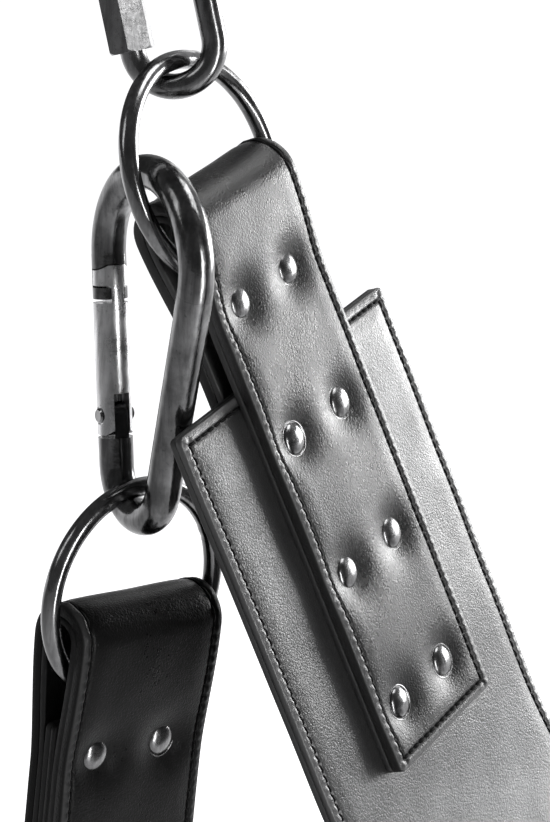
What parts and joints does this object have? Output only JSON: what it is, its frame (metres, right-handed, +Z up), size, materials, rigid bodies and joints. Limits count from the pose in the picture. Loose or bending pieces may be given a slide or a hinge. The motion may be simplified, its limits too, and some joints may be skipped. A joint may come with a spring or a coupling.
{
  "type": "belt swing seat",
  "caption": "Leather belt swing seat: a wide stitched belt in a U between two rings, each with a quick link and a snap hook carrying a foot loop.",
  "frame": {"origin": "left hang point: the inside top of the left quick link, where the chain or rope bears", "axes": "+X along the seat to its right suspension, +Y to the rear of the seat, +Z up as it hangs"},
  "size_m": [0.6529, 0.212, 0.6477],
  "materials": {
    "seat_leather": "satin",
    "seat_lining": "satin",
    "foot_leather": "glossy",
    "foot_lining": "satin",
    "rivets": "polished",
    "ring_steel": "polished, lightly worn",
    "link_steel": "bright, lightly worn",
    "nut_steel": "machined",
    "hook_steel": "bright, lightly worn",
    "gate_steel": "polished",
    "pin_steel": "polished",
    "spring_steel": "plain"
  },
  "bodies": {
    "seat": {"seat_belt_top": "seat_leather", "seat_belt_lining": "seat_lining", "left_hanger_outer": "seat_leather", "left_hanger_lining": "seat_lining", "left_seat_rivets": "rivets", "right_hanger_outer": "seat_leather", "right_hanger_lining": "seat_lining", "right_seat_rivets": "rivets"},
    "left_ring": {"left_ring": "ring_steel"},
    "left_link": {"left_link": "link_steel"},
    "left_link_nut": {"left_link_nut": "nut_steel"},
    "left_hook": {"left_hook": "hook_steel", "left_gate_pin": "pin_steel"},
    "left_gate": {"left_gate": "gate_steel", "left_gate_spring": "spring_steel", "left_gate_plunger": "spring_steel"},
    "left_foot_ring": {"left_foot_ring": "ring_steel"},
    "left_foot_loop": {"left_foot_hanger_outer": "foot_leather", "left_foot_hanger_lining": "foot_lining", "left_foot_belt_outer": "foot_leather", "left_foot_belt_lining": "foot_lining", "left_foot_hanger_rivets": "rivets", "left_foot_loop_rivets": "rivets"},
    "right_ring": {"right_ring": "ring_steel"},
    "right_link": {"right_link": "link_steel"},
    "right_link_nut": {"right_link_nut": "nut_steel"},
    "right_hook": {"right_hook": "hook_steel", "right_gate_pin": "pin_steel"},
    "right_gate": {"right_gate": "gate_steel", "right_gate_spring": "spring_steel", "right_gate_plunger": "spring_steel"},
    "right_foot_ring": {"right_foot_ring": "ring_steel"},
    "right_foot_loop": {"right_foot_hanger_outer": "foot_leather", "right_foot_hanger_lining": "foot_lining", "right_foot_belt_outer": "foot_leather", "right_foot_belt_lining": "foot_lining", "right_foot_hanger_rivets": "rivets", "right_foot_loop_rivets": "rivets"}
  },
  "joints": [
    {"name": "left_ring_tilt", "type": "hinge", "parent": "seat", "child": "left_ring", "pos_m": [0.04168, 0.00543, -0.11357], "axis": [0, 0.9781, 0.2079], "range_deg": [0, 5]},
    {"name": "left_link_swing", "type": "hinge", "parent": "left_ring", "child": "left_link", "pos_m": [0.0169, 0, -0.05202], "axis": [0.0837, 0.9965, 0], "range_deg": [-60, 60]},
    {"name": "left_nut_travel", "type": "slide", "parent": "left_link", "child": "left_link_nut", "axis": [-0.309, 0, 0.9511], "range_m": [0, 0.017]},
    {"name": "left_hook_swing", "type": "hinge", "parent": "left_ring", "child": "left_hook", "pos_m": [0.02752, -0.02472, -0.0814], "axis": [-0.891, 0.454, 0], "range_deg": [0, 60]},
    {"name": "left_gate_swing", "type": "hinge", "parent": "left_hook", "child": "left_gate", "pos_m": [0.01181, -0.01672, -0.16234], "axis": [0.454, 0.891, 0], "range_deg": [0, 25], "stiffness_Nm_per_rad": 0.1, "springref_deg": -28.65},
    {"name": "left_foot_ring_swing", "type": "hinge", "parent": "left_hook", "child": "left_foot_ring", "pos_m": [0.02752, -0.02472, -0.1816], "axis": [0.2415, 0.9685, -0.061], "range_deg": [-20, 50]},
    {"name": "left_foot_loop_tilt", "type": "hinge", "parent": "left_foot_ring", "child": "left_foot_loop", "pos_m": [0.02702, -0.0267, -0.24854], "axis": [0.2415, 0.9685, -0.061], "range_deg": [-6, 6]},
    {"name": "right_ring_tilt", "type": "hinge", "parent": "seat", "child": "right_ring", "pos_m": [0.52325, 0.00543, -0.11357], "axis": [0, -0.9781, -0.2079], "range_deg": [0, 5]},
    {"name": "right_link_swing", "type": "hinge", "parent": "right_ring", "child": "right_link", "pos_m": [0.54804, 0, -0.05202], "axis": [0.0837, -0.9965, 0], "range_deg": [-60, 60]},
    {"name": "right_nut_travel", "type": "slide", "parent": "right_link", "child": "right_link_nut", "axis": [0.309, 0, 0.9511], "range_m": [0, 0.017]},
    {"name": "right_hook_swing", "type": "hinge", "parent": "right_ring", "child": "right_hook", "pos_m": [0.53742, -0.02472, -0.0814], "axis": [-0.891, -0.454, 0], "range_deg": [0, 60]},
    {"name": "right_gate_swing", "type": "hinge", "parent": "right_hook", "child": "right_gate", "pos_m": [0.55312, -0.01672, -0.16234], "axis": [0.454, -0.891, 0], "range_deg": [0, 25], "stiffness_Nm_per_rad": 0.1, "springref_deg": -28.65},
    {"name": "right_foot_ring_swing", "type": "hinge", "parent": "right_hook", "child": "right_foot_ring", "pos_m": [0.53742, -0.02472, -0.1816], "axis": [0.2415, -0.9685, 0.061], "range_deg": [-20, 50]},
    {"name": "right_foot_loop_tilt", "type": "hinge", "parent": "right_foot_ring", "child": "right_foot_loop", "pos_m": [0.53792, -0.0267, -0.24854], "axis": [0.2415, -0.9685, 0.061], "range_deg": [-6, 6]}
  ]
}
